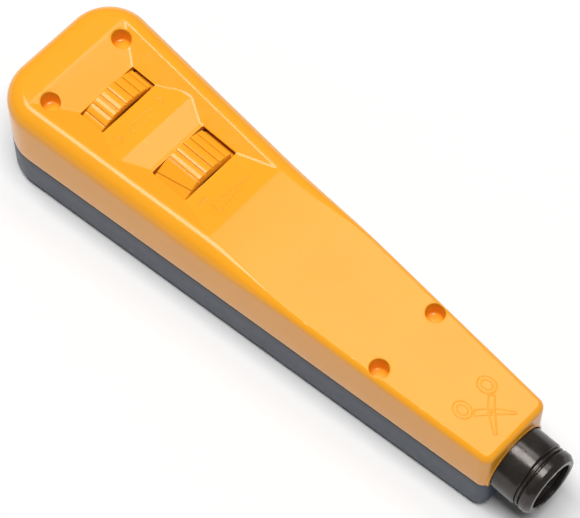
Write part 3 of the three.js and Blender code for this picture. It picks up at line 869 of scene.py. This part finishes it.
def bead():
    section = [(BEAD_X + 0.26 * math.cos(a), 7.02 + 0.32 * math.sin(a)) for a in turn_angles(16)]
    nose_piece("retaining_bead", turned(section, 144), "retaining_ring", 60)


def collar():
    """The ring at the tip, with the locking key across the top of the socket's mouth."""
    back = BARREL_FRONT_X + 0.2
    profile = round_profile(
        [(COLLAR_X, 6.6), (COLLAR_X, COLLAR_R), (69.35, COLLAR_R), (TIP_X, 6.75), (TIP_X, 5.75),
         (70.2, SOCKET_R), (back, SOCKET_R), (back, 6.6)], (0.08, 0.35, 0.7, 0.35, 0.1, 0.1, 0, 0), 8)
    key_top = AXIS_Z + SOCKET_R + 0.3
    key = block(69.55, 70.3, *KEY_Y, key_top - KEY_DROP, key_top)
    nose_piece("nose_collar_ring", together([turned(profile, 144), key]), "nose_collar", 35)


def nose_piece(name, shape, node, sharp):
    piece(name, *shape, BLACK_METAL, "nose", "black_metal", [node], sharp)


# ---- Drums ----
def rib_outline(spec):
    """Rounded ribs with thin grooves between them: [angle, drop from the tip radius]."""
    first, last = spec["ribs"]
    out = [(DRUM_SPAN[0], 0.1), (first - 0.7, 0.1)]
    angle = first
    while True:
        out += [(angle + turn, drop) for turn, drop in RIB_GROOVE]
        if angle > last:
            break
        for u in np.linspace(-1, 1, 11)[1:-1]:
            out.append((angle + RIB_PITCH / 2 + u * (RIB_PITCH / 2 - 0.55), 0.02 + RIB_BULGE * u * u))
        angle += RIB_PITCH
    step, fall = RIM_STEP
    out = [(a, drop + (fall if a < step else 0.0)) for a, drop in out if a < DRUM_SPAN[1] - 0.6]
    out += [(step - 0.05, fall + RIM_DROP), (step + 0.05, RIM_DROP)]
    start = max(a for a, _ in out) + 0.5
    count = max(2, int((DRUM_SPAN[1] - start) / 1.5))
    out += [(a, RIM_DROP) for a in np.linspace(start, DRUM_SPAN[1], count)]
    return sorted(out)


def chord_drop(angle, r):
    """How far the flat on the plain end of the power drum lies under the circle."""
    low, high = PLAIN_FLAT
    if not low < angle < high:
        return 0.0
    half, at = math.radians((high - low) / 2), math.radians(angle - (low + high) / 2)
    return r * (1 - math.cos(half) / math.cos(at))


def plain_end(spec, x):
    """The smooth end of the power drum's rim, with one slanting score line: [angle, drop]."""
    share = (x - spec["x0"]) / (spec["x1"] - spec["x0"])
    score = SCORE_LINE[0] + (SCORE_LINE[1] - SCORE_LINE[0]) * share
    out = [(a, RIM_DROP) for a in np.linspace(PLAIN_FLAT[0], score - 0.6, 9)]
    out += [(score - 0.35, RIM_DROP), (score, SCORE_DEPTH), (score + 0.35, RIM_DROP)]
    return out + [(a, RIM_DROP) for a in np.linspace(score + 0.6, DRUM_SPAN[1], 12)]


def rim_section(spec, x, pull, flat_end):
    """The cross-section of a drum's rim at x, with its outside pulled in by `pull`."""
    r = spec["r"]
    outer = rib_outline(spec)
    if flat_end:
        ribbed = [(a, drop) for a, drop in outer if a < PLAIN_FLAT[0]]
        outer = [(a, drop + chord_drop(a, r)) for a, drop in ribbed + plain_end(spec, x)]
    ring = [(a, r - max(drop, pull) - min(pull, 0.12)) for a, drop in outer]
    ring += [(a, r - RIM_THICKNESS + min(pull, 0.2)) for a in np.linspace(DRUM_SPAN[1], DRUM_SPAN[0], 24)]
    return around_axis(x, ring)


def drum(name, spec, node, flat_end):
    """A thumb wheel: the ribbed part of the rim, the hub and the web between them."""
    x0, x1 = spec["x0"], spec["x1"]
    run, fall = spec["chamfer"]
    sections = [(x0, 0.2), (x0 + 0.05, 0.08), (x0 + 0.2, 0.0)]
    sections += [(x, 0.0) for x in np.linspace(x0 + 0.2, x1 - run - 0.1, 9)[1:]]
    sections += [(x1 - run, 0.05), (x1 - run * 0.5, fall / 2), (x1, fall)]
    rim = loft([rim_section(spec, x, pull, flat_end) for x, pull in sections])
    inner, outer, end = *HUB, x1 - HUB_END
    hub = turned(round_profile([(x0, inner), (x0, outer), (end, outer), (end, inner)], (0.2,) * 4, 3), 96)
    angles = np.linspace(DRUM_SPAN[0] + 4, DRUM_SPAN[1] - 4, 24)
    section = [(a, outer - 0.3) for a in angles] + [(a, spec["r"] - 1.8) for a in angles[::-1]]
    web = loft([around_axis(x, section) for x in (x0 + 3.0, x0 + 4.8)])
    piece(name, *together([rim, hub, web]), DRUM_YELLOW, node, "yellow_plastic", [node], 20)


# ---- Raised marks ----
def stroke(path, width, height, closed=False):
    """A low rounded ridge along a path on the top surface."""
    path = np.array(path, float)
    ends = np.roll(path, -1, 0) if closed else path[1:]
    starts = path if closed else path[:-1]
    dense = []
    for a, b in zip(starts, ends):
        count = max(1, int(np.linalg.norm(b - a) / 0.25))
        dense += [a + (b - a) * i / count for i in range(count)]
    if not closed:
        dense.append(path[-1])
    dense = np.array(dense)
    if closed:
        ahead, behind = np.roll(dense, -1, 0), np.roll(dense, 1, 0)
    else:
        ahead, behind = np.vstack([dense[1:], dense[-1:]]), np.vstack([dense[:1], dense[:-1]])
    along = ahead - behind
    along /= np.linalg.norm(along, axis=1, keepdims=True)
    across = np.stack([-along[:, 1], along[:, 0]], 1)
    level = top_surface(dense[:, 0], dense[:, 1])
    rings = []
    for i, (p, side, z) in enumerate(zip(dense, across, level)):
        size = 1.0 if closed or 0 < i < len(dense) - 1 else 0.45
        ring = []
        for degrees in range(0, 181, 30):
            t = math.radians(degrees)
            q = p + side * math.cos(t) * width / 2 * size
            ring.append((q[0], q[1], z + math.sin(t) * height * size - 0.02))
        ring.append((*(p - side * width / 2 * size), z - 0.2))
        ring.append((*(p + side * width / 2 * size), z - 0.2))
        rings.append(ring)
    points = [q for ring in rings for q in ring]
    count, faces = len(rings[0]), []
    for k in range(len(rings) if closed else len(rings) - 1):
        faces += ring_faces(count, k * count, ((k + 1) % len(rings)) * count)
    if not closed:
        faces += [tuple(range(count)), tuple(range((len(rings) - 1) * count, len(rings) * count))]
    return points, faces


def ellipse(cx, cy, rx, ry, count=28):
    return [(cx + rx * math.cos(a), cy + ry * math.sin(a)) for a in turn_angles(count)]


def mark(name, strokes, width, height):
    """One sign from its strokes: [path, whether it closes on itself]."""
    shape = together([stroke(path, width, height, closed) for path, closed in strokes])
    piece(name, *shape, YELLOW, "housing", "yellow_plastic", (), 60)


def marks():
    """Plain signs: scissors, a rising wedge between low and high, arrows and a blade."""
    blade = [(50.9, 2.3), (53.0, -0.35), (57.3, -3.4), (57.6, -2.9), (54.2, 0.35), (51.9, 3.0)]
    other = [(x, -y) for x, y in blade]
    loops = [(ellipse(49.2, y, *size), True) for size in ((2.1, 1.75), (1.25, 0.95)) for y in (3.7, -3.7)]
    pivot = ellipse(53.4, 0, 0.35, 0.35, 12)
    mark("mark_scissors", [*loops, (blade, True), (other, True), (pivot, True)], 0.4, 0.17)
    mark("mark_wedge", [([(-17.3, 5.6), (-18.2, -4.8), (-15.9, -4.8)], True)], **FAINT)
    mark("mark_low", [([(-21.1, 5.3), (-19.6, 5.3)], False)], **FAINT)
    mark("mark_high", [([(-21.1, y), (-19.6, y)], False) for y in (-4.6, -5.5, -6.4)], **FAINT)
    arrows = [([(x - 1.3, y - 1.35), (x, y), (x + 1.3, y - 1.35)], False) for x, y in ARROW_PLACES]
    mark("mark_arrows", arrows, **FAINT)
    outline = [(-43.6, -3.6), (-43.6, 1.6), (-43.1, 3.4), (-42.3, 3.4), (-41.9, 1.6), (-41.9, -3.6)]
    mark("mark_blade", [(outline, True), ([(-43.6, -1.9), (-41.9, -1.9)], False)], 0.35, 0.08)


# ---- Stage, lights and camera ----
def softbox(name, along, across, radiance):
    """A flat lamp on the ceiling; `along` and `across` are spans of x and y per metre of height."""
    data = bpy.data.lights.new(name, "AREA")
    data.shape = "RECTANGLE"
    data.size = (along[1] - along[0]) * CEILING
    data.size_y = (across[1] - across[0]) * CEILING
    data.energy = math.pi * data.size * data.size_y * radiance
    lamp = placed(name, data)
    lamp.location = (sum(along) / 2 * CEILING, sum(across) / 2 * CEILING, CEILING)


def build_world():
    """Soft white all round, brighter overhead."""
    world = bpy.data.worlds.new("studio")
    bpy.context.scene.world = world
    world.use_nodes = True
    tree = world.node_tree
    geometry = tree.nodes.new("ShaderNodeNewGeometry")
    split = tree.nodes.new("ShaderNodeSeparateXYZ")
    tree.links.new(geometry.outputs["Normal"], split.inputs[0])
    ramp = tree.nodes.new("ShaderNodeMapRange")
    ramp.inputs["From Min"].default_value = 0.25
    ramp.inputs["From Max"].default_value = 0.8
    ramp.inputs["To Min"].default_value = WORLD_SIDE
    ramp.inputs["To Max"].default_value = WORLD_TOP
    tree.links.new(split.outputs["Z"], ramp.inputs["Value"])
    background = tree.nodes["Background"]
    background.inputs["Color"].default_value = rgb(1, 1, 1)
    tree.links.new(ramp.outputs["Result"], background.inputs["Strength"])


def build_floor():
    corners = [(-1, -1), (1, -1), (1, 1), (-1, 1)]
    mesh = bpy.data.meshes.new("floor")
    places = [(x * FLOOR_REACH, y * FLOOR_REACH, -FLOOR_DROP) for x, y in corners]
    mesh.from_pydata(places, [], [(0, 1, 2, 3)])
    n = Nodes("floor_white")
    n.shader.inputs["Base Color"].default_value = rgb(0.82, 0.82, 0.82)
    n.shader.inputs["Roughness"].default_value = 0.9
    n.shader.inputs["Specular IOR Level"].default_value = 0.1
    mesh.materials.append(n.material)
    placed("floor", mesh)


def build_camera():
    data = bpy.data.cameras.new("camera")
    data.sensor_width = 36.0
    data.lens = LENS
    data.clip_start, data.clip_end = 0.01, 20.0
    camera = placed("camera", data)
    flat = math.cos(CAMERA_ELEVATION)
    back = Vector((math.sin(CAMERA_AZIMUTH) * flat, -math.cos(CAMERA_AZIMUTH) * flat,
                   math.sin(CAMERA_ELEVATION)))
    camera.location = Vector(CAMERA_PLACE) * MM
    camera.rotation_mode = "QUATERNION"
    camera.rotation_quaternion = (-back).to_track_quat("-Z", "Y")
    bpy.context.scene.camera = camera


build_floor()
build_world()
build_camera()
bpy.context.scene.view_settings.view_transform = "Standard"
softbox("key", **KEY_LAMP)
softbox("strip", **STRIP_LAMP)

upper_shell()
lower_shell()
barrel()
bead()
collar()
drum("power_drum_rim", POWER_DRUM, "power_drum", True)
drum("release_drum_rim", RELEASE_DRUM, "release_drum", False)
marks()

CARRIED = {
    "guide_tube": TURNED_STEEL, "guide_bush": WHITE_PLASTIC, "blade_store": BLACK_PLASTIC,
    "power_detent_spring": SPRING_STEEL, "release_detent_spring": SPRING_STEEL,
    "plunger_rod": TURNED_STEEL, "return_spring": SPRING_STEEL, "hammer": TURNED_STEEL,
    "latch_plate": TURNED_STEEL, "latch_spring": SPRING_STEEL, "impact_spring": SPRING_STEEL,
    "spring_seat": TURNED_STEEL, "lock_pin": TURNED_STEEL,
    **{f"case_screw_{i}": SCREW_STEEL for i in range(1, 5)},
}
for node, material in CARRIED.items():
    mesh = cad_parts[node].data
    mesh.materials.clear()
    mesh.materials.append(material)
